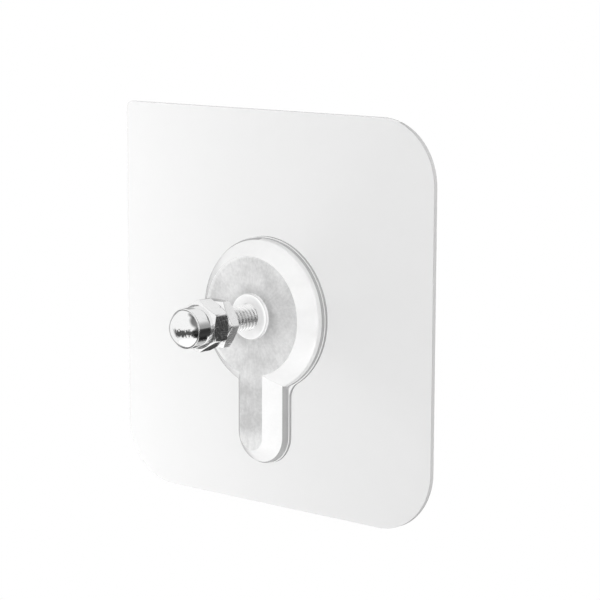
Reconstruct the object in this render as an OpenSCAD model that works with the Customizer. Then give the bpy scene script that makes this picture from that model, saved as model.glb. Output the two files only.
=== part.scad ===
// Adhesive wall hook: a square clear sheet sticks to the wall, a moulded clear base sits on it,
// and a screw stands out of the base with a thin hex nut and a domed cap nut on it.
// The wall is the plane y = 0, the hook stands out towards -Y and +Z is up.

/* [Sheet] */
// Side of the square sheet
sheet_side = 60; // [50:1:90]
// Radius of the three round corners of the sheet
corner_r = 9.5; // [4:0.5:15]
// Radius of the nearly square corner at the top left
square_corner_r = 1; // [0.6:0.1:4]
// Thickness of the clear sheet
sheet_t = 0.75; // [0.4:0.05:1.5]
// Thickness of the adhesive layer behind the sheet
adhesive_t = 0.3; // [0.15:0.05:0.8]
// How far the adhesive stays inside the edge of the sheet
adhesive_inset = 0.2; // [0.1:0.05:0.5]

/* [Base] */
// Centre of the base to the right of the centre of the sheet
base_x = -0.7; // [-3:0.1:3]
// Centre of the base above the centre of the sheet
base_z = -0.5; // [-3:0.1:3]
// Thickness of the bond between sheet and base
bond_t = 0.1; // [0.05:0.05:0.3]
// How far the bond stays inside the foot of the base
bond_inset = 0.4; // [0.2:0.1:1]
// Radius of the round part at its rim
disc_r = 11.5; // [9:0.1:14]
// Width of the sloping ring between the rim and the flat top of the disc
disc_slope = 2.5; // [1.5:0.05:4]
// Width of the tail at its rim
tail_w = 9.2; // [6.6:0.1:12]
// Width of the slope on each side of the tail
tail_slope = 2.4; // [1.5:0.05:3.2]
// How far the tail reaches below the disc
tail_reach = 11.3; // [7:0.1:14]
// Height of the upright wall at the rim
rim_h = 1.4; // [0.8:0.05:1.7]
// Bevel along the upper edge of the rim
rim_bevel = 0.25; // [0.1:0.05:0.4]
// Height of the thin foot that runs round the wall
foot_h = 0.5; // [0.3:0.05:0.7]
// How far the foot stands out from the wall
foot_step = 0.15; // [0.1:0.05:0.6]
// Fillet between disc and tail along the foot
foot_fillet = 3; // [1.5:0.1:4]
// Fillet between disc and tail along the wall
wall_fillet = 1.2; // [0.6:0.1:2]
// Thickness of the base in front of the head of the screw
web_t = 2.2; // [0.8:0.1:3]
// Width of the collar round the stud
collar_w = 1.55; // [1:0.05:3]
// Height of the collar above the flat top
collar_h = 0.7; // [0.5:0.05:1.5]
// Rounding of the outer edge of the collar
collar_round = 0.45; // [0.2:0.05:0.45]

/* [Stud and nuts] */
// Outside diameter of the thread
stud_d = 3.9; // [3:0.1:5]
// Radial clearance round the stud in the base and in the nuts
thread_fit = 0.05; // [0.02:0.01:0.1]
// Bevel at the tip of the stud
tip_bevel = 0.4; // [0.2:0.05:0.8]
// Width across flats of the head behind the base
head_af = 7; // [6:0.5:9]
// Thickness of the head
head_h = 1.6; // [1:0.1:2.5]
// Clearance round the head in its pocket
head_fit = 0.1; // [0.05:0.05:0.3]
// Bare thread between the collar and the hex nut
thread_show = 5.95; // [3:0.05:12]
// Width across flats of both nuts
nut_af = 6.8; // [6.4:0.1:10]
// Thickness of the hex nut
hex_nut_h = 2.05; // [1.5:0.05:4]
// Gap between the hex nut and the cap nut
nut_gap = 0.05; // [0.02:0.01:0.2]
// Height of the hexagon of the cap nut
cap_hex_h = 3.05; // [2:0.05:4]
// How far the stud reaches into the cap nut
cap_engage = 5.05; // [4:0.05:7]
// Room between the tip of the stud and the end of the thread in the cap nut
tip_gap = 0.15; // [0.05:0.05:0.5]
// Metal between the drill point and the top of the dome
crown_t = 1.25; // [0.8:0.05:2]
// How far the neck of the cap nut lies inside its flats
neck_step = 0.45; // [0.2:0.05:0.6]
// Width of the shoulder between neck and dome
shoulder_w = 0.25; // [0.2:0.05:0.6]
// Rounding of the front edge of the neck
neck_round = 0.2; // [0.1:0.05:0.2]
// Height of the dome over its shoulder
dome_h = 1.9; // [1.5:0.05:2]
// Lead-in at the mouth of each threaded hole
lead_in = 0.3; // [0.1:0.05:0.4]
// How far the chamfered ends of the hexagons lie inside their flats
nut_face_step = 0.15; // [0.05:0.05:0.3]

/* [Hidden] */
$fn = 96;

// Every cut runs past the face that it opens by this much
cut = 0.5;
// A fillet's circle reaches this far into the disc and the tail, so that their outlines cross
fillet_bite = 0.02;
// Hexagons have this $fn, and this angle turns the cap nut against the hex nut
hex_sides = 6;
cap_turn = 30;
// Angle of the chamfer on the corners of a nut, and half the angle of a drill point
nut_chamfer = 30;
half_point = 59;

// Depths are measured from the wall
sheet_back = adhesive_t;
sheet_front = sheet_back + sheet_t;
base_back = sheet_front + bond_t;
top_h = head_h + web_t;
collar_front = base_back + top_h + collar_h;
hex_nut_back = collar_front + thread_show;
cap_nut_back = hex_nut_back + hex_nut_h + nut_gap;
stud_l = cap_nut_back + cap_engage - base_back;

// Outline of the base, measured from the axis of the stud
tail_r = tail_w / 2;
tail_end = disc_r + tail_reach - tail_r;

// Round sizes of the stud and the nuts
stud_r = stud_d / 2;
bore_r = stud_r + thread_fit;
collar_r = stud_r + collar_w;
neck_r = nut_af / 2 - neck_step;
dome_r = neck_r - shoulder_w;
ball_r = (pow(dome_r, 2) + pow(dome_h, 2)) / (2 * dome_h);
bore_depth = cap_engage + tip_gap;
point_h = bore_r / tan(half_point);
cap_top = bore_depth + point_h + crown_t;
neck_top = cap_top - dome_h;

// Corner radius of a hexagon from its width across flats
function corner_radius(af) = af / 2 / cos(180 / hex_sides);

// Half section of the base from its axis to a rim, up the wall and along the slope to the flat top
function rim_section(rim, slope) = [
    [0, 0],
    [rim, 0],
    [rim, rim_h - rim_bevel],
    [rim - rim_bevel, rim_h + rim_bevel * (top_h - rim_h) / slope],
    [rim - slope, top_h],
    [0, top_h]
];

// Puts a shape that is drawn flat, x to the right and y up, in front of the wall at a depth
module on_wall(depth)
    translate([0, -depth, 0]) rotate([90, 0, 0]) children();

// The same, centred on the axis of the stud
module on_stud(depth)
    translate([base_x, 0, base_z]) on_wall(depth) children();

// What a round corner takes off a square one, drawn from the centre of its arc
module corner_off(r)
    difference() {
        square(r + cut);
        circle(r);
    }

// Square outline of the sheet, drawn in by an inset
module sheet_outline(inset)
    difference() {
        square(sheet_side - 2 * inset, center = true);
        for (quarter = [0:3]) {
            r = (quarter == 1 ? square_corner_r : corner_r) - inset;
            reach = sheet_side / 2 - inset - r;
            rotate(90 * quarter) translate([reach, reach]) corner_off(r);
        }
    }

// The corners between disc and tail, filled up to a hollow fillet on each side
module fillet_web(disc, tail, fillet) {
    across = tail + fillet - fillet_bite;
    down = sqrt(pow(disc + fillet - fillet_bite, 2) - pow(across, 2));
    difference() {
        polygon([[-across, -down], [across, -down], [0, 0]]);
        for (side = [-1, 1]) translate([side * across, -down]) circle(fillet);
    }
}

// Disc with a round-ended tail below it, grown by a step all round
module base_outline(step, fillet) {
    disc = disc_r + step;
    tail = tail_r + step;
    circle(disc);
    translate([-tail, -tail_end]) square([2 * tail, tail_end]);
    translate([0, -tail_end]) circle(tail);
    fillet_web(disc, tail, fillet);
}

// Wall and slopes of the base, which meet in a valley on each side of the tail
module base_body() {
    rotate_extrude() polygon(rim_section(disc_r, disc_slope));
    translate([0, -tail_end]) rotate_extrude() polygon(rim_section(tail_r, tail_slope));
    rotate([90, 0, 0]) linear_extrude(tail_end)
        for (side = [0, 1]) mirror([side, 0]) polygon(rim_section(tail_r, tail_slope));
    linear_extrude(rim_h - rim_bevel) fillet_web(disc_r, tail_r, wall_fillet);
    linear_extrude(foot_h) base_outline(foot_step, foot_fillet);
}

// Low round-edged collar, standing on the flat top
module collar()
    rotate_extrude() {
        square([collar_r - collar_round, collar_h]);
        square([collar_r, collar_h - collar_round]);
        translate([collar_r - collar_round, collar_h - collar_round])
            intersection() {
                circle(collar_round);
                square(collar_round);
            }
    }

// Hexagonal prism
module hexagon(af, h)
    cylinder(r = corner_radius(af), h = h, $fn = hex_sides);

// Nut blank: a hexagon whose corners are chamfered at both ends
module nut_blank(h) {
    face_r = nut_af / 2 - nut_face_step;
    turned_r = corner_radius(nut_af) + cut;
    chamfer_h = (turned_r - face_r) * tan(nut_chamfer);
    intersection() {
        hexagon(nut_af, h);
        rotate_extrude()
            polygon([
                [0, 0],
                [face_r, 0],
                [turned_r, chamfer_h],
                [turned_r, h - chamfer_h],
                [face_r, h],
                [0, h]
            ]);
    }
}

// Cone that opens the mouth of a threaded hole, widest at its lower end
module lead_in_cone()
    translate([0, 0, -cut])
        cylinder(r1 = bore_r + lead_in + cut, r2 = bore_r - cut, h = lead_in + 2 * cut);

// The adhesive that holds the hook on the wall
module adhesive_layer()
    color("Gainsboro") on_wall(0) linear_extrude(adhesive_t) sheet_outline(adhesive_inset);

// The clear sheet
module face_sheet()
    color("WhiteSmoke") on_wall(sheet_back) linear_extrude(sheet_t) sheet_outline(0);

// Thin bond that joins the base to the sheet
module base_bond()
    color("Lavender") on_stud(sheet_front) linear_extrude(bond_t)
        base_outline(foot_step - bond_inset, foot_fillet);

// The moulded base, with a bore for the stud and a hexagonal pocket behind it for the head
module hook_base()
    color("GhostWhite") on_stud(base_back)
        difference() {
            union() {
                base_body();
                translate([0, 0, top_h]) collar();
            }
            translate([0, 0, -cut]) cylinder(r = bore_r, h = top_h + collar_h + 2 * cut);
            translate([0, 0, -cut]) hexagon(head_af + 2 * head_fit, head_h + cut);
        }

// The screw: its head sits in the pocket, its thread stands out of the collar
module stud_screw()
    color("Silver") on_stud(base_back) {
        hexagon(head_af, head_h);
        rotate_extrude()
            polygon([
                [0, 0],
                [stud_r, 0],
                [stud_r, stud_l - tip_bevel],
                [stud_r - tip_bevel, stud_l],
                [0, stud_l]
            ]);
    }

// The thin hex nut, one corner pointing sideways
module hex_nut()
    color("DarkGray") on_stud(hex_nut_back)
        difference() {
            nut_blank(hex_nut_h);
            translate([0, 0, -cut]) cylinder(r = bore_r, h = hex_nut_h + 2 * cut);
            lead_in_cone();
            translate([0, 0, hex_nut_h]) mirror([0, 0, 1]) lead_in_cone();
        }

// The cap nut: hexagon, round neck and a dome cut from a ball, over a blind hole
module cap_nut()
    color("LightGray") on_stud(cap_nut_back)
        difference() {
            union() {
                rotate(cap_turn) nut_blank(cap_hex_h);
                rotate_extrude() {
                    square([neck_r - neck_round, neck_top]);
                    square([neck_r, neck_top - neck_round]);
                    translate([neck_r - neck_round, neck_top - neck_round])
                        intersection() {
                            circle(neck_round);
                            square(neck_round);
                        }
                    intersection() {
                        translate([0, cap_top - ball_r]) circle(ball_r);
                        translate([0, neck_top - cut]) square([dome_r, dome_h + 2 * cut]);
                    }
                }
            }
            translate([0, 0, -cut]) cylinder(r = bore_r, h = bore_depth + cut);
            translate([0, 0, bore_depth]) cylinder(r1 = bore_r, r2 = 0, h = point_h);
            lead_in_cone();
        }

adhesive_layer();
face_sheet();
base_bond();
hook_base();
stud_screw();
hex_nut();
cap_nut();
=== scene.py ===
"""Adhesive wall hook: a clear sheet with its adhesive, a moulded base, a threaded stud, a thin nut and a cap nut."""

import math

import bmesh
import bpy
from mathutils import Matrix, Vector


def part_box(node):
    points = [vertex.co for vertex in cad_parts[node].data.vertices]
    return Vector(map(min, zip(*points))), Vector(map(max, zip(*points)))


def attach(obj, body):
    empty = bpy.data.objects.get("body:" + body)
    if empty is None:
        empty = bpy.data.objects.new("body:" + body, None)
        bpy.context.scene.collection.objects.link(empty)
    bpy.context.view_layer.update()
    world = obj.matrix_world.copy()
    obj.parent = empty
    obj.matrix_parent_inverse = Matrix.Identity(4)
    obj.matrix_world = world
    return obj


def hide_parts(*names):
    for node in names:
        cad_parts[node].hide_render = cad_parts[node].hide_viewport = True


bl_info = {
    "name": "Adhesive Wall Hook",
    "version": (1, 0, 0),
    "blender": (4, 5, 0),
    "location": "View3D > Sidebar > Wall Hook",
    "description": "Dresses a clear adhesive wall hook with its stud, nut and cap nut",
    "category": "Add Mesh",
}

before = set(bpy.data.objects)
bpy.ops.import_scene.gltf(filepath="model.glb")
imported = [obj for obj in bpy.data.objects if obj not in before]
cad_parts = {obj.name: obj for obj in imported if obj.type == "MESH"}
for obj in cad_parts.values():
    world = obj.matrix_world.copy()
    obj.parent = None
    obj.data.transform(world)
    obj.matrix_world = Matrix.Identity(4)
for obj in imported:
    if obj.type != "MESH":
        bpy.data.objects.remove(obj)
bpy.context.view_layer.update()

MM = 0.001
# Points closer than this are merged
WELD = 0.001 * MM
# How far a cutting tool reaches past what it cuts
OVERRUN = 0.5 * MM
# Refraction of the plastic and of the gel
PLASTIC_IOR = 1.49
GEL_IOR = 1.45
# Width of the camera's sensor in millimetres
SENSOR = 36.0
FLOOR_GREY = (0.55, 0.55, 0.55, 1.0)
WHITE = (1.0, 1.0, 1.0, 1.0)

# Boxes of the solids at rest: the lowest corner, then the highest
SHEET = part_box("face_sheet")
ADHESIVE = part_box("adhesive_layer")
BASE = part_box("hook_base")
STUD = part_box("stud_screw")
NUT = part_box("hex_nut")
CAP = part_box("cap_nut")

# The axis of the stud
AXIS_X = (STUD[0].x + STUD[1].x) / 2
AXIS_Z = (STUD[0].z + STUD[1].z) / 2

# Painted shade and light on the frosted top: where each mark begins and where it is full, as heights over the stud
# for the tail and its end, and as distances from the stud for the halo and the border
TAIL_PAINTED_SHADE = (-9.0 * MM, -11.5 * MM)
END_PAINTED_LIGHT = (-16.9 * MM, -18.8 * MM)
HALO_PAINTED_SHADE = (5.2 * MM, 3.9 * MM)
BORDER_PAINTED_LIGHT = (8.7 * MM, 9.0 * MM)
# How much lighter each of these four marks makes the face: painted shade on the tail and in the halo round the
# collar, painted light at the tail's end and along the border
PAINTED_SHADING_CHANGES = (-0.32, 0.62, -0.3, 0.4)
# The painted light of the border has its middle to the right of the stud, and runs out towards the tail
PAINTED_BORDER_SHIFT = 0.4 * MM
PAINTED_BORDER_END = (-7.0 * MM, -8.0 * MM)

# Darker parts of the studio in reflections: the turn from the front to the right and the height of each one's middle,
# its reach and its soft edge, all in degrees, and the share of the light that it takes away
FLAGS = (
    (98, -20, 30, 10, 0.97),
    (97, 40, 32, 10, 0.80),
    (167, -42, 18, 8, 0.88),
    (150, 70, 20, 8, 0.70),
    (175, 34, 45, 12, 0.10),
    (-140, -9, 34, 10, 0.60),
    (140, -5, 18, 16, 0.65),
)
# A dark band below the horizon with ragged edges, and the gap in it at the left
BAND_TOP = (-0.02, -0.16)
BAND_FOOT = (-0.68, -0.56)
BAND_SHARE = 0.91
BAND_GAP = (-95, -20, 38, 12)
RAGGED_SCALE = 6.0
RAGGED_REACH = 0.4
# The soft wall at the right that lights the hook
SIDE_WALL = (95, 10, 30, 15)


def length(name, default, description):
    """A size in metres for the sidebar."""
    return bpy.props.FloatProperty(
        name=name, description=description, default=default, min=0.0, precision=5, subtype="DISTANCE", unit="LENGTH"
    )


def grey(name, level, description):
    """A colour for the sidebar, a grey to begin with."""
    return bpy.props.FloatVectorProperty(
        name=name, description=description, default=(level, level, level), size=3, min=0.0, max=1.0, subtype="COLOR"
    )


def amount(name, default, description):
    """A plain number for the sidebar."""
    return bpy.props.FloatProperty(name=name, description=description, default=default, min=0.0)


def angle(name, default, description):
    """An angle for the sidebar, given here in degrees."""
    return bpy.props.FloatProperty(
        name=name, description=description, default=math.radians(default), subtype="ANGLE", unit="ROTATION"
    )


class HookSheetSizes(bpy.types.PropertyGroup):
    """Sizes of the sheet and of the adhesive behind it"""

    side: length("Side", SHEET[1].x - SHEET[0].x, "Side of the square sheet")
    corner: length("Round corners", 9.5 * MM, "Radius of the three round corners")
    square_corner: length("Square corner", 1.0 * MM, "Radius of the nearly square corner at the top left")
    thickness: length("Thickness", SHEET[1].y - SHEET[0].y, "Thickness of the sheet")
    edge: length("Edge rounding", 0.07 * MM, "Rounding along the cut edge of the sheet")
    inset: length("Adhesive inset", SHEET[1].x - ADHESIVE[1].x, "How far the adhesive stays inside the sheet's edge")
    adhesive: length("Adhesive thickness", ADHESIVE[1].y - ADHESIVE[0].y, "Thickness of the adhesive layer")
    film_gap: length("Film gap", 0.015 * MM, "What the adhesive and the bond stay clear of the faces that they hold")


class HookBaseSizes(bpy.types.PropertyGroup):
    """Sizes of the moulded base"""

    top: length("Flat top", 4.95 * MM, "Distance of the flat top from the wall")
    rim: length("Rim height", 1.4 * MM, "Height of the upright rim over the back of the base")
    collar: length("Collar radius", 3.5 * MM, "Outer radius of the collar round the stud")
    tail: length("Tail", 11.0 * MM, "How far below the stud the tail begins")
    edge: length("Edge rounding", 0.09 * MM, "Rounding of the edges of the moulding")


class HookStudSizes(bpy.types.PropertyGroup):
    """Sizes of the stud and its thread"""

    radius: length("Thread radius", 1.95 * MM, "Outer radius of the thread")
    pitch: length("Pitch", 0.7 * MM, "Distance between two turns of the thread")
    depth: length("Thread depth", 0.38 * MM, "Depth of the thread on the stud")
    crest: length("Crest", 0.0875 * MM, "Width of the flat on top of a turn")
    root: length("Root", 0.175 * MM, "Width of the flat between two turns")
    tip: length("Tip bevel", 0.4 * MM, "Bevel at the tip of the stud")
    head: length("Head width", STUD[1].z - STUD[0].z, "Width across flats of the hidden head")
    head_thickness: length("Head thickness", 1.6 * MM, "Thickness of the hidden head")
    head_edge: length("Head rounding", 0.08 * MM, "Rounding of the edges of the hidden head")


class HookNutSizes(bpy.types.PropertyGroup):
    """Sizes of the thin nut and of the cap nut"""

    width: length("Width", NUT[1].z - NUT[0].z, "Width across flats of both nuts")
    bore: length("Bore radius", 2.0 * MM, "Radius of the holes over the crests of their thread")
    groove: length("Groove", 0.22 * MM, "Depth of the thread in the holes")
    lead_in: length("Lead-in", 0.3 * MM, "Cone at the mouth of a threaded hole")
    face_step: length("Face step", 0.15 * MM, "How far the chamfered faces lie inside the flats")
    edge: length("Edge rounding", 0.05 * MM, "Rounding of the edges of the nuts")
    hexagon: length("Cap hexagon", 3.05 * MM, "Height of the hexagon of the cap nut")
    corner: length("Cap corners", 0.25 * MM, "Rounding of the corners of the cap nut's hexagon")
    neck: length("Neck radius", 2.95 * MM, "Radius of the neck of the cap nut")
    neck_round: length("Neck rounding", 0.1 * MM, "Rounding at the front of the neck")
    dome: length("Dome radius", 2.7 * MM, "Radius of the dome at its foot")
    dome_height: length("Dome height", 1.9 * MM, "Height of the dome over its shoulder")
    hole: length("Hole depth", 5.2 * MM, "Depth of the threaded hole in the cap nut")
    chamfer: angle("Chamfer", 30.0, "Angle of the turned chamfer on the corners of the hexagons")
    point: angle("Drill point", 59.0, "Half the angle of the drill point in the cap nut")


class HookFinish(bpy.types.PropertyGroup):
    """Colours and finishes"""

    sheet: grey("Sheet", 0.83, "Colour of the clear sheet")
    # Painted shade: this darker colour goes on the cut edge only where it faces right, away from the key light
    painted_shade_edge: grey("Cut edge", 0.42, "Colour of the cut edge of the sheet")
    adhesive: grey("Adhesive", 0.92, "Colour of the adhesive and the bond")
    base: grey("Polished base", 0.91, "Colour of the polished sides of the base")
    # Painted light: the sides of the tail are a copy of the clear plastic with less transmission, which shows lighter
    tail: grey("Tail", 0.89, "Colour of the sides of the tail")
    # Painted light: the collar is a whiter copy of the clear plastic
    collar: grey("Collar", 0.96, "Colour of the collar")
    # Painted shade: the upright rim, and the bevel left of the stud and along the tail, are a dark copy of the clear
    # plastic
    rim: grey("Rim", 0.39, "Colour of the upright rim of the base")
    # Painted shade: the disc's bevel and the collar's side are a darker copy of the clear plastic
    bevel: grey("Rim bevel", 0.70, "Colour of the disc's bevel and the collar's side")
    # The frosted top goes between these two by its mottling and by the painted shade and light of its tail, end, halo
    # and border
    frost: grey("Frosted top", 0.80, "Colour of the frosted flat top")
    frost_dark: grey("Frosted top, darker", 0.47, "Colour of the darker patches of the frosted top")
    screw: grey("Screw", 0.96, "Colour of the plated thread")
    nut: grey("Nut", 0.96, "Colour of the plated nut")
    cap: grey("Cap nut", 0.94, "Colour of the polished cap nut")


class HookStage(bpy.types.PropertyGroup):
    """Camera, floor and light"""

    azimuth: angle("Azimuth", 39.924, "Camera's turn round the hook")
    elevation: angle("Elevation", 9.165, "Camera's height above the horizon")
    roll: angle("Roll", 0.208, "Camera's turn about its own axis")
    distance: length("Distance", 326.331 * MM, "Distance of the camera from its target")
    target_x: bpy.props.FloatProperty(name="Target X", description="Target of the camera", default=4.686 * MM)
    target_z: bpy.props.FloatProperty(name="Target Z", description="Target of the camera", default=1.941 * MM)
    lens: amount("Lens", 131.483, "Focal length in millimetres on a 36 mm sensor")
    floor_drop: length("Floor drop", 130 * MM, "How far the floor lies below the middle of the sheet")
    floor_radius: length("Floor radius", 110 * MM, "Radius of the floor")
    key: amount("Key light", 0.30, "Power of the tall light on the sheet from the left, in watts")
    fill: amount("Fill light", 0.09, "Power of the weak light on the base from the front, in watts")
    soft: amount("Soft light", 0.92, "Light of the studio's walls, all round")
    side: amount("Side light", 2.5, "What a soft wall at the right adds to it")
    studio: amount("Studio", 1.0, "Strength of the studio in reflections")


# Modelling steps that several pieces share


def start_piece(name, add, **options):
    """Deselect everything, add a primitive and give it its name."""
    bpy.ops.object.select_all(action="DESELECT")
    add(**options)
    piece = bpy.context.object
    piece.name = piece.data.name = name
    return piece


def pick(piece):
    """Select this piece alone."""
    bpy.ops.object.select_all(action="DESELECT")
    piece.select_set(True)
    bpy.context.view_layer.objects.active = piece


def edit(piece):
    """Open the piece for editing with everything on it selected."""
    pick(piece)
    bpy.ops.object.mode_set(mode="EDIT")
    bpy.ops.mesh.select_mode(type="VERT")
    bpy.ops.mesh.select_all(action="SELECT")


def close():
    """Leave edit mode."""
    bpy.ops.object.mode_set(mode="OBJECT")


def choose(piece, kind, test):
    """In edit mode, select the vertices, edges or faces whose place or normal passes the test."""
    bpy.ops.mesh.select_mode(type=kind)
    bpy.ops.mesh.select_all(action="DESELECT")
    mesh = bmesh.from_edit_mesh(piece.data)
    for element in {"VERT": mesh.verts, "EDGE": mesh.edges, "FACE": mesh.faces}[kind]:
        element.select_set(test(element))
    mesh.select_flush_mode()
    bmesh.update_edit_mesh(piece.data)


def dress(piece, index, test):
    """In edit mode, give the faces that pass the test one of the piece's materials."""
    choose(piece, "FACE", test)
    piece.active_material_index = index
    bpy.ops.object.material_slot_assign()


def weld(piece):
    """Put the piece's place into its mesh, merge doubled points, drop loose ones and turn the faces outwards."""
    pick(piece)
    bpy.ops.object.transform_apply(location=True, rotation=True, scale=True)
    edit(piece)
    bpy.ops.mesh.remove_doubles(threshold=WELD)
    bpy.ops.mesh.delete_loose()
    bpy.ops.mesh.select_all(action="SELECT")
    bpy.ops.mesh.normals_make_consistent(inside=False)
    close()


def apply(piece, kind, **settings):
    """Add a modifier to the piece and apply it."""
    pick(piece)
    modifier = piece.modifiers.new(kind.title(), kind)
    for key, value in settings.items():
        setattr(modifier, key, value)
    bpy.ops.object.modifier_apply(modifier=modifier.name)


def combine(piece, other, operation):
    """Cut, join or intersect the piece with another, which is used up."""
    apply(piece, "BOOLEAN", object=other, operation=operation, solver="EXACT")
    bpy.data.objects.remove(other)


def copy_solid(name, solid, context):
    """A piece of its own with the shape of one of the solids."""
    piece = bpy.data.objects.new(name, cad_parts[solid].data.copy())
    piece.data.name = name
    piece.data.materials.clear()
    context.collection.objects.link(piece)
    return piece


def round_edges(piece, offset, sharper_than, segments=2):
    """Round every edge of the piece that is sharper than an angle."""
    edit(piece)
    bpy.ops.mesh.select_mode(type="EDGE")
    bpy.ops.mesh.select_all(action="DESELECT")
    bpy.ops.mesh.edges_select_sharp(sharpness=math.radians(sharper_than))
    bpy.ops.mesh.bevel(offset=offset, segments=segments, profile=0.5, affect="EDGES", clamp_overlap=True)
    close()


def smooth(piece, up_to=30):
    """Shade smoothly over every edge that is flatter than an angle, and keep the large faces flat."""
    pick(piece)
    bpy.ops.object.shade_smooth_by_angle(angle=math.radians(up_to))
    apply(piece, "WEIGHTED_NORMAL", mode="FACE_AREA", keep_sharp=True)


def at_stud(radius, depth):
    """A point beside the axis of the stud, at a distance from the wall."""
    return Vector((AXIS_X + radius, -depth, AXIS_Z))


def draw_section(name, points):
    """Draw a line through points (radius, depth) beside the axis of the stud, corner after corner."""
    corners = [at_stud(*point) for point in points]
    piece = start_piece(name, bpy.ops.mesh.primitive_plane_add, size=MM, location=corners[0])
    edit(piece)
    bpy.ops.mesh.merge(type="CENTER")
    for here, there in zip(corners, corners[1:]):
        bpy.ops.mesh.extrude_vertices_move(TRANSFORM_OT_translate={"value": there - here})
    close()
    return piece


def turn(name, points, steps=96):
    """Draw a section and spin it round the axis of the stud into a solid."""
    piece = draw_section(name, points)
    edit(piece)
    bpy.ops.mesh.spin(steps=steps, angle=math.tau, center=at_stud(0, 0), axis=(0, 1, 0))
    close()
    weld(piece)
    return piece


def arc(centre, radius, start, end, steps):
    """Points of an arc in a section, from one angle to another in degrees; 0 points outwards, 90 to the front."""
    turns = [math.radians(start + (end - start) * i / steps) for i in range(steps + 1)]
    return [(centre[0] + radius * math.cos(t), centre[1] + radius * math.sin(t)) for t in turns]


def hexagon(name, width, back, front, turned):
    """A hexagonal bar round the axis of the stud, between two distances from the wall."""
    piece = start_piece(
        name,
        bpy.ops.mesh.primitive_cylinder_add,
        vertices=6,
        radius=width / math.sqrt(3),
        depth=front - back,
        end_fill_type="NGON",
        location=at_stud(0, (front + back) / 2),
        rotation=(math.radians(90), math.radians(turned), 0),
    )
    weld(piece)
    return piece


def thread(name, sizes, crest, depth, back, front):
    """A right-handed threaded rod round the axis of the stud, between two distances from the wall."""
    flank = (sizes.pitch - sizes.crest - sizes.root) / 2
    section, along = [(crest - depth, 0.0)], 0.0
    for radius, step in (
        (crest - depth, sizes.root),
        (crest, flank),
        (crest, sizes.crest),
        (crest - depth, flank),
    ):
        along += step
        section.append((radius, -along))
    start = front + 2 * sizes.pitch
    rod = draw_section(name, [(radius, start + drop) for radius, drop in section])
    pick(rod)
    bpy.context.scene.cursor.location = at_stud(0, 0)
    bpy.ops.object.origin_set(type="ORIGIN_CURSOR")
    turns = math.ceil((front - back) / sizes.pitch) + 3
    apply(rod, "SCREW", axis="Y", screw_offset=sizes.pitch, iterations=turns, steps=48, render_steps=48)
    weld(rod)
    for depth_cut, outwards in ((front, -1), (back, 1)):
        edit(rod)
        bpy.ops.mesh.bisect(
            plane_co=at_stud(0, depth_cut),
            plane_no=(0, outwards, 0),
            use_fill=True,
            clear_outer=True,
            threshold=WELD / 10,
        )
        close()
    weld(rod)
    return rod


def hand_over(piece, body, nodes, materials):
    """Give the finished piece its materials, its body and the solids that it stands for."""
    piece.data.materials.clear()
    for material in materials:
        piece.data.materials.append(material)
    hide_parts(*nodes)
    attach(piece, body)


# Materials


def node(tree, kind, place, **settings):
    """Add a node at a place in the tree; settings of inputs are given by their names with spaces as underscores."""
    made = tree.nodes.new(kind)
    made.location = place
    for key, value in settings.items():
        if hasattr(made, key):
            setattr(made, key, value)
        else:
            made.inputs[key.replace("_", " ")].default_value = value
    return made


def feed(tree, socket, value):
    """Link a socket to another one, or set it to a plain value."""
    if isinstance(value, bpy.types.NodeSocket):
        tree.links.new(value, socket)
    else:
        socket.default_value = value


def calculate(tree, place, operation, *values):
    """A math node fed with sockets or numbers."""
    made = node(tree, "ShaderNodeMath", place, operation=operation)
    for socket, value in zip(made.inputs, values):
        feed(tree, socket, value)
    return made.outputs[0]


def spread(tree, place, value, start, end, low=0.0, high=1.0, kind="LINEAR"):
    """Map a value from one range to another, held at both ends."""
    made = node(tree, "ShaderNodeMapRange", place, clamp=True, interpolation_type=kind)
    names = ("Value", "From Min", "From Max", "To Min", "To Max")
    for name, given in zip(names, (value, start, end, low, high)):
        feed(tree, made.inputs[name], given)
    return made.outputs[0]


def blend(tree, place, share, first, second):
    """Mix two values by a share."""
    made = node(tree, "ShaderNodeMix", place, data_type="FLOAT")
    for index, value in ((0, share), (2, first), (3, second)):
        feed(tree, made.inputs[index], value)
    return made.outputs[0]


def blend_colours(tree, place, mask, first, second):
    """Mix two colours by a mask."""
    made = node(tree, "ShaderNodeMix", place, data_type="RGBA")
    for index, value in ((0, mask), (6, (*first, 1.0)), (7, (*second, 1.0))):
        feed(tree, made.inputs[index], value)
    return made.outputs[2]


def noise(tree, place, vector, scale, detail=2.0, roughness=0.5):
    """A noise texture on given coordinates."""
    made = node(tree, "ShaderNodeTexNoise", place, Detail=detail, Roughness=roughness)
    feed(tree, made.inputs["Vector"], vector)
    feed(tree, made.inputs["Scale"], scale)
    return made.outputs["Fac"]


def bump(tree, place, height, shader, strength, distance):
    """Raise the surface by a height."""
    made = node(tree, "ShaderNodeBump", place, Strength=strength, Distance=distance)
    tree.links.new(height, made.inputs["Height"])
    tree.links.new(made.outputs[0], shader.inputs["Normal"])


def darker(tint, share):
    """A colour darkened to a share of itself."""
    return [channel * share for channel in tint]


def shared_group(name, inputs, build):
    """A node group that turns coordinates and some values into a mask; it is built when it is first used."""
    if name not in bpy.data.node_groups:
        group = bpy.data.node_groups.new(name, "ShaderNodeTree")
        group.interface.new_socket("Vector", in_out="INPUT", socket_type="NodeSocketVector")
        for socket in inputs:
            group.interface.new_socket(socket, in_out="INPUT", socket_type="NodeSocketFloat")
        group.interface.new_socket("Mask", in_out="OUTPUT", socket_type="NodeSocketFloat")
        start = node(group, "NodeGroupInput", (-900, 0)).outputs
        end = node(group, "NodeGroupOutput", (900, 0)).inputs
        group.links.new(build(group, start), end["Mask"])
    return bpy.data.node_groups[name]


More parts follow.
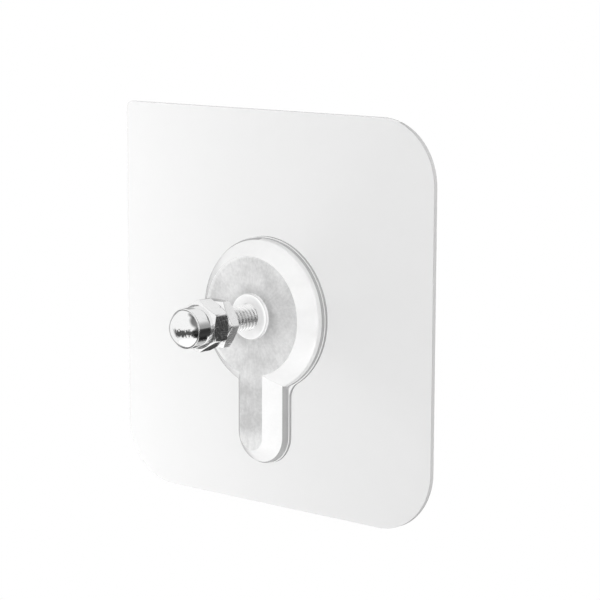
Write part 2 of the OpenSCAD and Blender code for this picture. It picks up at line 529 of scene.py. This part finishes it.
def cloudy_patches(group, start):
    """Soft patches at two scales, as in frosted or hazy plastic."""
    wide = noise(group, (-500, 200), start["Vector"], start["Scale"], detail=5.0, roughness=0.62)
    finer = calculate(group, (-700, -100), "MULTIPLY", start["Scale"], 6.0)
    fine = noise(group, (-500, -100), start["Vector"], finer, detail=3.0, roughness=0.55)
    both = blend(group, (-200, 100), 0.35, wide, fine)
    half = calculate(group, (-500, -350), "MULTIPLY", start["Softness"], 0.5)
    low = calculate(group, (-200, -200), "SUBTRACT", 0.5, half)
    high = calculate(group, (-200, -400), "ADD", 0.5, half)
    return spread(group, (200, 0), both, low, high)


def hair_scratches(group, start):
    """Thin broken lines in two directions, as handling leaves them."""
    lines = []
    for row, turns in enumerate(((20, 35, 10), (-40, 15, 70))):
        y = 300 - 400 * row
        turned = node(group, "ShaderNodeMapping", (-700, y), Scale=(1.0, 0.08, 1.0))
        turned.inputs["Rotation"].default_value = [math.radians(t) for t in turns]
        group.links.new(start["Vector"], turned.inputs["Vector"])
        field = noise(group, (-500, y), turned.outputs[0], start["Scale"], detail=1.0)
        off = calculate(group, (-300, y), "SUBTRACT", field, 0.5)
        size = calculate(group, (-150, y), "ABSOLUTE", off)
        lines.append(spread(group, (50, y), size, 0.0, start["Width"], low=1.0, high=0.0))
    either = calculate(group, (300, 100), "MAXIMUM", *lines)
    gaps = noise(group, (50, -500), start["Vector"], start["Scale"])
    broken = spread(group, (300, -500), gaps, 0.48, 0.62)
    return calculate(group, (600, 0), "MULTIPLY", either, broken)


def caught_bubbles(group, start):
    """Small round bubbles of several sizes, some of them fainter, as a gel catches them."""
    cells = node(group, "ShaderNodeTexVoronoi", (-700, 0))
    group.links.new(start["Vector"], cells.inputs["Vector"])
    group.links.new(start["Scale"], cells.inputs["Scale"])
    apart = node(group, "ShaderNodeSeparateXYZ", (-500, 150))
    group.links.new(cells.outputs["Color"], apart.inputs[0])
    some = spread(group, (-300, 300), apart.outputs["X"], 0.4, 0.8)
    size = spread(group, (-300, 0), apart.outputs["Y"], 0.0, 1.0, low=0.06, high=0.22)
    inner = calculate(group, (-100, 0), "MULTIPLY", size, 0.6)
    bubble = spread(group, (100, -100), cells.outputs["Distance"], inner, size, low=1.0, high=0.0)
    return calculate(group, (400, 100), "MULTIPLY", bubble, some)


def new_material(name, **settings):
    """A material with its shader, and the object coordinates that its patterns follow."""
    material = bpy.data.materials.new(name)
    material.use_nodes = True
    tree = material.node_tree
    shader = tree.nodes["Principled BSDF"]
    shader.location = (600, 0)
    for key, value in settings.items():
        shader.inputs[key.replace("_", " ")].default_value = value
    coordinates = node(tree, "ShaderNodeTexCoord", (-1300, 0))
    return material, tree, shader, coordinates.outputs["Object"]


def place_group(tree, name, build, place, vector, **settings):
    """Place a shared effect in a material with its own values."""
    made = node(tree, "ShaderNodeGroup", place, node_tree=shared_group(name, settings, build))
    for key, value in settings.items():
        made.inputs[key].default_value = value
    tree.links.new(vector, made.inputs["Vector"])
    return made.outputs["Mask"]


def patches(tree, place, vector, scale, softness):
    """The cloudy patches in a material."""
    return place_group(tree, "Cloudy patches", cloudy_patches, place, vector, Scale=scale, Softness=softness)


def hazy_plastic(name, tint, shade, rough, scale, transmission):
    """Clear plastic with faint flow marks in its colour, its gloss and its face."""
    material, tree, shader, vector = new_material(name, IOR=PLASTIC_IOR, Transmission_Weight=transmission)
    flow = patches(tree, (-900, 100), vector, scale, softness=0.5)
    tree.links.new(blend_colours(tree, (-200, 300), flow, tint, darker(tint, shade)), shader.inputs["Base Color"])
    uneven = spread(tree, (-200, 0), flow, 0.0, 1.0, low=rough, high=1.6 * rough)
    tree.links.new(uneven, shader.inputs["Roughness"])
    bump(tree, (200, -300), flow, shader, strength=0.12, distance=0.02 * MM)
    return material


def gel_material(name, tint, alpha, scale):
    """Clear gel adhesive with fine bubbles caught in it."""
    material, tree, shader, vector = new_material(name, IOR=GEL_IOR)
    bubble = place_group(tree, "Caught bubbles", caught_bubbles, (-900, 300), vector, Scale=scale)
    haze = patches(tree, (-900, -100), vector, scale / 6, softness=0.4)
    tree.links.new(blend_colours(tree, (-50, 300), bubble, tint, darker(tint, 0.8)), shader.inputs["Base Color"])
    uneven = spread(tree, (-200, 0), haze, 0.0, 1.0, low=0.25, high=0.42)
    tree.links.new(uneven, shader.inputs["Roughness"])
    cloudy = spread(tree, (-200, -250), haze, 0.0, 1.0, low=0.7 * alpha, high=1.3 * alpha)
    caught = spread(tree, (-200, -500), bubble, 0.0, 1.0, low=0.0, high=0.2)
    tree.links.new(calculate(tree, (0, -250), "ADD", cloudy, caught), shader.inputs["Alpha"])
    bump(tree, (200, -300), bubble, shader, strength=0.3, distance=0.03 * MM)
    return material


def distance_from(tree, place, vector, axis_x):
    """The distance from a line that stands on the wall at the height of the stud."""
    flat = node(tree, "ShaderNodeVectorMath", place, operation="MULTIPLY")
    flat.inputs[1].default_value = (1.0, 0.0, 1.0)
    away = node(tree, "ShaderNodeVectorMath", (place[0] + 180, place[1]), operation="DISTANCE")
    away.inputs[1].default_value = (axis_x, 0.0, AXIS_Z)
    tree.links.new(vector, flat.inputs[0])
    tree.links.new(flat.outputs[0], away.inputs[0])
    return away.outputs["Value"]


def painted_frost_shading(tree, vector, height):
    """Masks of painted shade and light on the frosted top: tail, tail end, halo round the collar and border of the
    disc.
    """
    from_stud = distance_from(tree, (-900, -800), vector, AXIS_X)
    from_border = distance_from(tree, (-900, -1050), vector, AXIS_X + PAINTED_BORDER_SHIFT)
    border = spread(tree, (-500, -1050), from_border, *BORDER_PAINTED_LIGHT)
    run_out = spread(tree, (-500, -1300), height, *PAINTED_BORDER_END)
    border = calculate(tree, (-350, -1050), "SUBTRACT", border, run_out)
    return (
        spread(tree, (-500, -300), height, *TAIL_PAINTED_SHADE),
        spread(tree, (-500, -550), height, *END_PAINTED_LIGHT),
        spread(tree, (-500, -800), from_stud, *HALO_PAINTED_SHADE),
        calculate(tree, (-200, -1050), "MAXIMUM", border, 0.0),
    )


def frosted_material(finish):
    """The plastic with a frosted, mottled face, fine marks that run out from the collar, and painted shade and light.
    """
    name = "frosted_clear_plastic"
    material, tree, shader, vector = new_material(name, IOR=PLASTIC_IOR, Transmission_Weight=0.2)
    link = tree.links.new
    mottled = patches(tree, (-900, 500), vector, 330.0, softness=0.3)
    centred = node(tree, "ShaderNodeMapping", (-1100, -100), Location=(-AXIS_X, 0.0, -AXIS_Z))
    apart = node(tree, "ShaderNodeSeparateXYZ", (-900, -100))
    link(vector, centred.inputs["Vector"])
    link(centred.outputs[0], apart.inputs[0])
    way = calculate(tree, (-700, 0), "ARCTAN2", apart.outputs["Z"], apart.outputs["X"])
    rays = node(tree, "ShaderNodeTexNoise", (-500, 0), noise_dimensions="1D", Scale=22.0, Detail=4.0)
    link(way, rays.inputs["W"])
    marked = blend(tree, (-300, 300), 0.3, mottled, rays.outputs["Fac"])
    light = marked
    # Painted shade and light: the masks darken the tail and the halo and lighten the tail's end and the border
    for row, (mask, change) in enumerate(zip(painted_frost_shading(tree, vector, apart.outputs["Z"]), PAINTED_SHADING_CHANGES)):
        shift = calculate(tree, (-100, 700 - 150 * row), "MULTIPLY", mask, change)
        light = calculate(tree, (50, 700 - 150 * row), "ADD", light, shift)
    link(blend_colours(tree, (200, 300), light, finish.frost_dark, finish.frost), shader.inputs["Base Color"])
    link(spread(tree, (0, 100), marked, 0.0, 1.0, low=0.52, high=0.38), shader.inputs["Roughness"])
    grain = noise(tree, (-500, -700), vector, 2600.0)
    face = blend(tree, (-100, -600), 0.5, grain, marked)
    bump(tree, (200, -300), face, shader, strength=0.35, distance=0.03 * MM)
    return material


def metal_material(name, tint, rough, worn, scale, dents=0.02 * MM):
    """Plated or polished metal with small scratches, uneven gloss and shallow dents."""
    material, tree, shader, vector = new_material(name, Metallic=1.0)
    spots = patches(tree, (-900, 200), vector, scale, softness=0.5)
    lines = place_group(
        tree, "Hair scratches", hair_scratches, (-900, -200), vector, Scale=1.5 * scale, Width=0.012
    )
    tree.links.new(blend_colours(tree, (-200, 300), spots, tint, darker(tint, 0.92)), shader.inputs["Base Color"])
    uneven = spread(tree, (-500, 50), spots, 0.0, 1.0, low=rough, high=1.6 * rough)
    scratched = spread(tree, (-500, -250), lines, 0.0, 1.0, low=0.0, high=worn)
    tree.links.new(calculate(tree, (-200, 0), "ADD", uneven, scratched), shader.inputs["Roughness"])
    bump(tree, (200, -300), blend(tree, (0, -450), 0.25, spots, lines), shader, strength=0.3, distance=dents)
    return material


# Pieces


def sheet_slab(name, sizes, inset, thickness, back):
    """The square with one sharp and three round corners, drawn in by an inset, as a slab in front of the wall."""
    half = sizes.side / 2 - inset
    slab = start_piece(
        name,
        bpy.ops.mesh.primitive_plane_add,
        size=2 * half,
        location=(0, -back, 0),
        rotation=(math.radians(90), 0, 0),
    )
    pick(slab)
    bpy.ops.object.transform_apply(location=True, rotation=True, scale=True)
    edit(slab)
    choose(slab, "VERT", lambda v: v.co.x < 0 < v.co.z)
    bpy.ops.mesh.bevel(offset=sizes.square_corner - inset, segments=6, affect="VERTICES", profile=0.5)
    choose(slab, "VERT", lambda v: min(abs(v.co.x), abs(v.co.z)) > half - WELD)
    bpy.ops.mesh.bevel(offset=sizes.corner - inset, segments=24, affect="VERTICES", profile=0.5)
    bpy.ops.mesh.select_all(action="SELECT")
    bpy.ops.mesh.extrude_region_move(TRANSFORM_OT_translate={"value": (0, -thickness, 0)})
    close()
    weld(slab)
    return slab


class HOOK_OT_adhesive(bpy.types.Operator):
    """Make the clear adhesive behind the sheet"""

    bl_idname = "hook.adhesive"
    bl_label = "Adhesive"

    def execute(self, context):
        sizes, finish = context.scene.hook_sheet, context.scene.hook_finish
        film = sheet_slab("adhesive_film", sizes, sizes.inset, sizes.adhesive - sizes.film_gap, 0.0)
        round_edges(film, sizes.edge, sharper_than=60)
        smooth(film)
        gel = gel_material("gel_adhesive", finish.adhesive, alpha=0.3, scale=550.0)
        hand_over(film, "base", ["adhesive_layer"], [gel])
        film.visible_glossy = False
        return {"FINISHED"}


class HOOK_OT_sheet(bpy.types.Operator):
    """Make the square clear sheet"""

    bl_idname = "hook.sheet"
    bl_label = "Sheet"

    def execute(self, context):
        sizes, finish = context.scene.hook_sheet, context.scene.hook_finish
        sheet_finish = hazy_plastic(
            "clear_vinyl", finish.sheet, shade=0.985, rough=0.16, scale=60.0, transmission=0.25
        )
        slab = sheet_slab("clear_sheet", sizes, 0.0, sizes.thickness, -SHEET[1].y)
        round_edges(slab, sizes.edge, sharper_than=60, segments=3)
        smooth(slab)
        edge_shade_finish = hazy_plastic(
            "vinyl_edge_painted_shade", finish.painted_shade_edge, shade=0.9, rough=0.3, scale=700.0, transmission=0.1
        )
        hand_over(slab, "base", ["face_sheet"], [sheet_finish, edge_shade_finish])
        edit(slab)
        # Painted shade: the cut edge is darker where it faces right, away from the key light
        dress(slab, 1, lambda face: abs(face.normal.y) < 0.8 and face.normal.x > 0.3)
        close()
        slab.visible_glossy = False
        return {"FINISHED"}


class HOOK_OT_bond(bpy.types.Operator):
    """Make the thin bond under the base"""

    bl_idname = "hook.bond"
    bl_label = "Bond"

    def execute(self, context):
        bond = copy_solid("bond_film", "base_bond", context)
        low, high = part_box("base_bond")
        edit(bond)
        bpy.ops.mesh.remove_doubles(threshold=WELD)
        thinner = 1 - 2 * context.scene.hook_sheet.film_gap / (high.y - low.y)
        bpy.ops.transform.resize(value=(1, thinner, 1), center_override=(low + high) / 2)
        close()
        gel = gel_material("bond_adhesive", context.scene.hook_finish.adhesive, alpha=0.3, scale=1400.0)
        hand_over(bond, "base", ["base_bond"], [gel])
        return {"FINISHED"}


def base_faces(sizes):
    """Tests that tell the faces of the base apart, each with the number of its finish; a later one counts more."""
    axis = Vector((AXIS_X, AXIS_Z))
    slack = 0.05 * MM
    bevel_reach = 0.4 * MM
    collar_foot = sizes.top + 0.02 * MM
    tail_start = AXIS_Z - sizes.tail
    # Bounds of the normal's part towards the wall: a bevel, the side of the collar and the back of the base
    bevel_low, bevel_high, side_low, back_low = -0.6, -0.25, -0.6, 0.9

    def height(point):
        return BASE[1].y - point.y

    def from_axis(point):
        return (point.xz - axis).length

    def on_top(face):
        level = all(abs(-v.co.y - sizes.top) < slack for v in face.verts)
        return level and min(from_axis(v.co) for v in face.verts) > 0.95 * sizes.collar

    def on_bevel(face):
        near = all(abs(height(v.co) - sizes.rim) < bevel_reach for v in face.verts)
        return near and bevel_low < face.normal.y < bevel_high

    def on_rim(face):
        low = all(height(v.co) < sizes.rim + slack for v in face.verts)
        middle = face.calc_center_median()
        # Painted shade: the bevel left of the stud and along the tail takes the rim's dark colour
        painted_shade_bevel = on_bevel(face) and (middle.x < AXIS_X or middle.z < tail_start)
        return painted_shade_bevel or (low and face.normal.y < back_low and from_axis(middle) > 2 * sizes.collar)

    def on_tail(face):
        raised = all(height(v.co) > sizes.rim for v in face.verts)
        tail = raised and face.calc_center_median().z < tail_start
        return tail and not on_top(face) and not on_rim(face)

    def on_collar(face):
        return all(-v.co.y > collar_foot for v in face.verts)

    def on_collar_side(face):
        return on_collar(face) and face.normal.y > side_low

    # Finishes: 1 frosted top, 2 bevel and collar side in painted shade, 3 rim in painted shade, 4 tail and 5 collar
    # in painted light
    return (1, on_top), (2, on_bevel), (3, on_rim), (4, on_tail), (5, on_collar), (2, on_collar_side)


class HOOK_OT_base(bpy.types.Operator):
    """Make the moulded base with its frosted top"""

    bl_idname = "hook.base"
    bl_label = "Base"

    def execute(self, context):
        sizes, finish = context.scene.hook_base, context.scene.hook_finish
        base = copy_solid("moulded_base", "hook_base", context)
        edit(base)
        bpy.ops.mesh.customdata_custom_splitnormals_clear()
        bpy.ops.mesh.remove_doubles(threshold=WELD)
        bpy.ops.mesh.dissolve_limited(angle_limit=math.radians(0.3))
        close()
        round_edges(base, sizes.edge, sharper_than=22)
        polished, bevel, rim, tail, collar = (
            hazy_plastic(name, tint, shade, rough, scale, transmission)
            for name, tint, shade, rough, scale, transmission in (
                ("polished_clear_plastic", finish.base, 0.93, 0.05, 220.0, 0.4),
                # Painted shade on the bevel and the rim and painted light on the tail and the collar: darker and
                # lighter copies of one clear plastic
                ("clear_plastic_bevel_painted_shade", finish.bevel, 0.85, 0.1, 300.0, 0.1),
                ("clear_plastic_rim_painted_shade", finish.rim, 0.85, 0.08, 300.0, 0.15),
                ("clear_plastic_tail_painted_light", finish.tail, 0.92, 0.1, 500.0, 0.1),
                ("clear_plastic_collar_painted_light", finish.collar, 0.9, 0.15, 700.0, 0.05),
            )
        )
        finishes = [polished, frosted_material(finish), bevel, rim, tail, collar]
        hand_over(base, "base", ["hook_base"], finishes)
        edit(base)
        for index, test in base_faces(sizes):
            dress(base, index, test)
        close()
        base.visible_shadow = base.visible_diffuse = base.visible_glossy = False
        smooth(base)
        return {"FINISHED"}


class HOOK_OT_stud(bpy.types.Operator):
    """Make the threaded stud with its hidden head"""

    bl_idname = "hook.stud"
    bl_label = "Stud"

    def execute(self, context):
        sizes, finish = context.scene.hook_stud, context.scene.hook_finish
        back, front = -STUD[1].y, -STUD[0].y
        neck = back + sizes.head_thickness
        rod = thread("threaded_stud", sizes, sizes.radius, sizes.depth, neck - OVERRUN, front)
        blank = turn(
            "stud_blank",
            [
                (0.0, neck - 2 * OVERRUN),
                (sizes.radius + OVERRUN, neck - 2 * OVERRUN),
                (sizes.radius + OVERRUN, front - sizes.tip - OVERRUN),
                (sizes.radius - sizes.tip, front),
                (0.0, front),
            ],
        )
        combine(rod, blank, "INTERSECT")
        head = hexagon("stud_head", sizes.head, back, neck, 30)
        round_edges(head, sizes.head_edge, sharper_than=40)
        combine(rod, head, "UNION")
        weld(rod)
        smooth(rod, up_to=25)
        metal = metal_material("plated_thread", finish.screw, rough=0.2, worn=0.2, scale=500.0)
        hand_over(rod, "base", ["stud_screw"], [metal])
        return {"FINISHED"}


def nut_blank(name, sizes, back, front, turned, corner):
    """A hexagon with rounded corners that are turned down to a cone at both faces."""
    face = sizes.width / 2 - sizes.face_step
    wide = sizes.width / math.sqrt(3) + OVERRUN
    rise = (wide - face) * math.tan(sizes.chamfer)
    blank = hexagon(name, sizes.width, back - OVERRUN, front + OVERRUN, turned)
    round_edges(blank, corner, sharper_than=50, segments=4)
    section = [(0.0, back), (face, back), (wide, back + rise), (wide, front - rise), (face, front), (0.0, front)]
    combine(blank, turn("nut_cone", section), "INTERSECT")
    weld(blank)
    return blank


def drill(piece, sizes, back, end, through):
    """Cut a hole with a lead-in at its mouth, through the piece or down to a drill point."""
    mouth = sizes.bore + sizes.lead_in + OVERRUN
    section = [(0.0, back - OVERRUN), (mouth, back - OVERRUN), (sizes.bore, back + sizes.lead_in)]
    if through:
        section += [(sizes.bore, end - sizes.lead_in), (mouth, end + OVERRUN), (0.0, end + OVERRUN)]
    else:
        section += [(sizes.bore, end), (0.0, end + sizes.bore / math.tan(sizes.point))]
    combine(piece, turn("drill", section), "DIFFERENCE")
    weld(piece)


def tap(piece, sizes, stud, back, front):
    """Cut the thread into a drilled hole."""
    cutter = thread("tap", stud, sizes.bore + sizes.groove, sizes.groove + OVERRUN / 10, back, front)
    combine(piece, cutter, "DIFFERENCE")
    weld(piece)


class HOOK_OT_nut(bpy.types.Operator):
    """Make the thin hex nut"""

    bl_idname = "hook.nut"
    bl_label = "Thin Nut"

    def execute(self, context):
        sizes, finish = context.scene.hook_nut, context.scene.hook_finish
        back, front = -NUT[1].y, -NUT[0].y
        nut = nut_blank("thin_nut", sizes, back, front, 30, sizes.edge)
        drill(nut, sizes, back, front, True)
        round_edges(nut, sizes.edge, sharper_than=28)
        tap(nut, sizes, context.scene.hook_stud, back - OVERRUN, front + OVERRUN)
        smooth(nut)
        metal = metal_material("plated_nut", finish.nut, rough=0.18, worn=0.2, scale=420.0)
        hand_over(nut, "hex_nut", ["hex_nut"], [metal])
        return {"FINISHED"}


class HOOK_OT_cap(bpy.types.Operator):
    """Make the domed cap nut"""

    bl_idname = "hook.cap"
    bl_label = "Cap Nut"

    def execute(self, context):
        sizes, finish = context.scene.hook_nut, context.scene.hook_finish
        back, tip = -CAP[1].y, -CAP[0].y
        shoulder = tip - sizes.dome_height
        ball = (sizes.dome**2 + sizes.dome_height**2) / (2 * sizes.dome_height)
        foot = math.degrees(math.asin(1 - sizes.dome_height / ball))
        cap = nut_blank("domed_cap_nut", sizes, back, back + sizes.hexagon, 0, sizes.corner)
        round_edges(cap, sizes.edge, sharper_than=28)
        section = [(0.0, back + 2 * OVERRUN), (sizes.neck, back + 2 * OVERRUN)]
        section += arc((sizes.neck - sizes.neck_round, shoulder - sizes.neck_round), sizes.neck_round, 0, 90, 5)
        section += arc((0.0, tip - ball), ball, foot, 90, 24)
        combine(cap, turn("cap_dome", section), "UNION")
        weld(cap)
        drill(cap, sizes, back, back + sizes.hole, False)
        tap(cap, sizes, context.scene.hook_stud, back - OVERRUN, back + sizes.hole - OVERRUN)
        smooth(cap)
        polished = metal_material("polished_cap", finish.cap, rough=0.07, worn=0.1, scale=380.0)
        formed = metal_material(
            "formed_cap_hexagon", finish.cap, rough=0.1, worn=0.2, scale=450.0, dents=0.085 * MM
        )
        hand_over(cap, "cap_nut", ["cap_nut"], [polished, formed])
        edit(cap)
        # The hexagon is formed and less polished than the dome
        dress(cap, 1, lambda face: all(-v.co.y < back + sizes.hexagon + WELD for v in face.verts))
        close()
        return {"FINISHED"}


class HOOK_OT_stage(bpy.types.Operator):
    """Set the camera, the floor and the light"""

    bl_idname = "hook.stage"
    bl_label = "Stage"

    def execute(self, context):
        stage = context.scene.hook_stage
        set_camera(context, stage)
        set_floor(stage)
        set_world(context, stage)
        set_lights(context, stage)
        context.scene.view_settings.view_transform = "Standard"
        return {"FINISHED"}


def towards(turned, raised):
    """A direction by its turn from the front to the right and its height over the horizon."""
    across = math.cos(raised)
    return Vector((math.sin(turned) * across, -math.cos(turned) * across, math.sin(raised)))


def camera_axes(stage):
    """The camera's right, up and backward directions before its roll."""
    back = towards(stage.azimuth, stage.elevation)
    right = Vector((math.cos(stage.azimuth), math.sin(stage.azimuth), 0.0))
    return right, back.cross(right), back


def set_camera(context, stage):
    """The camera at the viewing angle of the product picture."""
    right, up, back = camera_axes(stage)
    c, s = math.cos(stage.roll), math.sin(stage.roll)
    across, upward = right * c + up * s, up * c - right * s
    camera = bpy.data.objects.new("camera", bpy.data.cameras.new("camera"))
    context.scene.collection.objects.link(camera)
    camera.data.lens = stage.lens
    camera.data.sensor_width = SENSOR
    camera.data.clip_start, camera.data.clip_end = 0.01, 10.0
    place = Matrix((across, upward, back)).transposed().to_4x4()
    place.translation = Vector((stage.target_x, 0.0, stage.target_z)) + back * stage.distance
    camera.matrix_world = place
    context.scene.camera = camera


def set_floor(stage):
    """A pale round floor under the hook, which comes out white in the picture and is clear from below."""
    floor = start_piece(
        "floor",
        bpy.ops.mesh.primitive_circle_add,
        vertices=96,
        radius=stage.floor_radius,
        fill_type="NGON",
        location=(0, 0, -stage.floor_drop),
    )
    material = bpy.data.materials.new("pale_floor")
    material.use_nodes = True
    material.cycles.emission_sampling = "NONE"
    tree = material.node_tree
    tree.nodes.clear()
    rays = node(tree, "ShaderNodeLightPath", (-800, 200)).outputs
    seen = calculate(tree, (-500, 300), "MAXIMUM", rays["Is Camera Ray"], rays["Is Glossy Ray"])
    seen = calculate(tree, (-300, 200), "MAXIMUM", seen, rays["Is Transmission Ray"])
    pale = node(tree, "ShaderNodeBsdfDiffuse", (-100, 0), Color=FLOOR_GREY)
    white = node(tree, "ShaderNodeEmission", (-100, -150), Color=FLOOR_GREY)
    both = node(tree, "ShaderNodeAddShader", (100, 0))
    under = node(tree, "ShaderNodeNewGeometry", (100, 450))
    clear = node(tree, "ShaderNodeBsdfTransparent", (100, -150))
    side = node(tree, "ShaderNodeMixShader", (300, 100))
    link = tree.links.new
    link(seen, white.inputs["Strength"])
    link(pale.outputs[0], both.inputs[0])
    link(white.outputs[0], both.inputs[1])
    link(under.outputs["Backfacing"], side.inputs[0])
    link(both.outputs[0], side.inputs[1])
    link(clear.outputs[0], side.inputs[2])
    link(side.outputs[0], node(tree, "ShaderNodeOutputMaterial", (500, 100)).inputs["Surface"])
    floor.data.materials.append(material)


def wall_patch(tree, place, way, turned, raised, reach, soft):
    """A mask that is 1 round a direction of the studio and 0 away from it, all given in degrees."""
    facing = node(tree, "ShaderNodeVectorMath", place, operation="DOT_PRODUCT")
    facing.inputs[1].default_value = towards(math.radians(turned), math.radians(raised))
    tree.links.new(way, facing.inputs[0])
    outer, inner = math.cos(math.radians(reach + soft)), math.cos(math.radians(reach - soft))
    return spread(tree, (place[0] + 200, place[1]), facing.outputs["Value"], outer, inner, kind="SMOOTHSTEP")


def dark_band(tree, way):
    """The mask of the ragged dark band below the horizon."""
    apart = node(tree, "ShaderNodeSeparateXYZ", (-1200, -300))
    tree.links.new(way, apart.inputs[0])
    field = noise(tree, (-1200, -500), way, RAGGED_SCALE)
    ragged = spread(tree, (-1000, -500), field, 0.0, 1.0, low=-RAGGED_REACH, high=RAGGED_REACH)
    height = calculate(tree, (-800, -300), "ADD", apart.outputs["Z"], ragged)
    top_edge = spread(tree, (-600, -200), height, *BAND_TOP, kind="SMOOTHSTEP")
    low_edge = spread(tree, (-600, -400), height, *BAND_FOOT, kind="SMOOTHSTEP")
    band = calculate(tree, (-400, -300), "MULTIPLY", top_edge, low_edge)
    gap = wall_patch(tree, (-800, -600), way, *BAND_GAP)
    return calculate(tree, (-200, -300), "MULTIPLY", band, calculate(tree, (-400, -600), "SUBTRACT", 1.0, gap))


def set_world(context, stage):
    """White behind the hook, soft light all round, and in reflections a white studio with darker parts."""
    world = bpy.data.worlds.new("studio")
    context.scene.world = world
    world.use_nodes = True
    tree = world.node_tree
    tree.nodes.clear()
    link = tree.links.new
    way = node(tree, "ShaderNodeTexCoord", (-1400, 0)).outputs["Generated"]
    masks = [wall_patch(tree, (-800, 300 + 200 * row), way, *flag[:4]) for row, flag in enumerate(FLAGS)]
    shares = [flag[4] for flag in FLAGS]
    level = stage.studio
    for row, (mask, share) in enumerate(zip([*masks, dark_band(tree, way)], [*shares, BAND_SHARE])):
        kept = spread(tree, (-100, 300 - 200 * row), mask, 0.0, 1.0, low=1.0, high=1.0 - share)
        level = calculate(tree, (100, 300 - 200 * row), "MULTIPLY", kept, level)
    side = wall_patch(tree, (-800, -900), way, *SIDE_WALL)
    soft = spread(tree, (-400, -900), side, 0.0, 1.0, low=stage.soft, high=stage.soft + stage.side)
    rays = node(tree, "ShaderNodeLightPath", (-800, 1900)).outputs
    level = blend(tree, (300, -300), rays["Is Glossy Ray"], soft, level)
    straight = calculate(tree, (-600, 1900), "LESS_THAN", rays["Glossy Depth"], 0.5)
    through = calculate(tree, (-400, 1900), "MULTIPLY", rays["Is Transmission Ray"], straight)
    seen = calculate(tree, (-200, 1900), "MAXIMUM", rays["Is Camera Ray"], through)
    studio = node(tree, "ShaderNodeBackground", (300, 0), Color=WHITE)
    white = node(tree, "ShaderNodeBackground", (300, 200), Color=WHITE, Strength=1.0)
    either = node(tree, "ShaderNodeMixShader", (500, 100))
    link(level, studio.inputs["Strength"])
    link(seen, either.inputs[0])
    link(studio.outputs[0], either.inputs[1])
    link(white.outputs[0], either.inputs[2])
    link(either.outputs[0], node(tree, "ShaderNodeOutputWorld", (700, 100)).inputs["Surface"])


def set_lights(context, stage):
    """Two soft lights at the left: a tall one close by for the sheet alone, and a weak one in front for the base."""
    for name, power, place, width, height, piece in (
        ("key_light", stage.key, (-0.14, -0.06, -0.04), 0.12, 0.24, "clear_sheet"),
        ("fill_light", stage.fill, (-0.10, -0.14, -0.04), 0.12, 0.12, "moulded_base"),
    ):
        light = bpy.data.objects.new(name, bpy.data.lights.new(name, "AREA"))
        context.scene.collection.objects.link(light)
        light.data.shape = "RECTANGLE"
        light.data.size, light.data.size_y = width, height
        light.data.energy = power
        light.location = place
        light.rotation_mode = "QUATERNION"
        light.rotation_quaternion = (-light.location).to_track_quat("-Z", "Y")
        light.visible_glossy = False
        lit = bpy.data.collections.new(f"lit_by_{name}")
        lit.objects.link(bpy.data.objects[piece])
        light.light_linking.receiver_collection = lit


class HOOK_PT_panel(bpy.types.Panel):
    """Sidebar panel with the steps and sizes of the hook"""

    bl_idname = "HOOK_PT_panel"
    bl_label = "Wall Hook"
    bl_space_type = "VIEW_3D"
    bl_region_type = "UI"
    bl_category = "Wall Hook"

    def draw(self, context):
        layout = self.layout
        for step in STEPS:
            layout.operator(step.bl_idname)
        for group in GROUPS:
            box = layout.box()
            settings = getattr(context.scene, group)
            for key in settings.__annotations__:
                box.prop(settings, key)


STEPS = (
    HOOK_OT_adhesive,
    HOOK_OT_sheet,
    HOOK_OT_bond,
    HOOK_OT_base,
    HOOK_OT_stud,
    HOOK_OT_nut,
    HOOK_OT_cap,
    HOOK_OT_stage,
)
GROUPS = {
    "hook_sheet": HookSheetSizes,
    "hook_base": HookBaseSizes,
    "hook_stud": HookStudSizes,
    "hook_nut": HookNutSizes,
    "hook_finish": HookFinish,
    "hook_stage": HookStage,
}


def register():
    """Register the classes and put their settings on the scene."""
    for group, kind in GROUPS.items():
        bpy.utils.register_class(kind)
        setattr(bpy.types.Scene, group, bpy.props.PointerProperty(type=kind))
    for kind in (*STEPS, HOOK_PT_panel):
        bpy.utils.register_class(kind)


def unregister():
    """Take everything away again."""
    for kind in reversed((*STEPS, HOOK_PT_panel)):
        bpy.utils.unregister_class(kind)
    for group, kind in GROUPS.items():
        delattr(bpy.types.Scene, group)
        bpy.utils.unregister_class(kind)


def main():
    """Build every piece in order."""
    register()
    bpy.ops.hook.adhesive()
    bpy.ops.hook.sheet()
    bpy.ops.hook.bond()
    bpy.ops.hook.base()
    bpy.ops.hook.stud()
    bpy.ops.hook.nut()
    bpy.ops.hook.cap()
    bpy.ops.hook.stage()


if __name__ == "__main__":
    main()
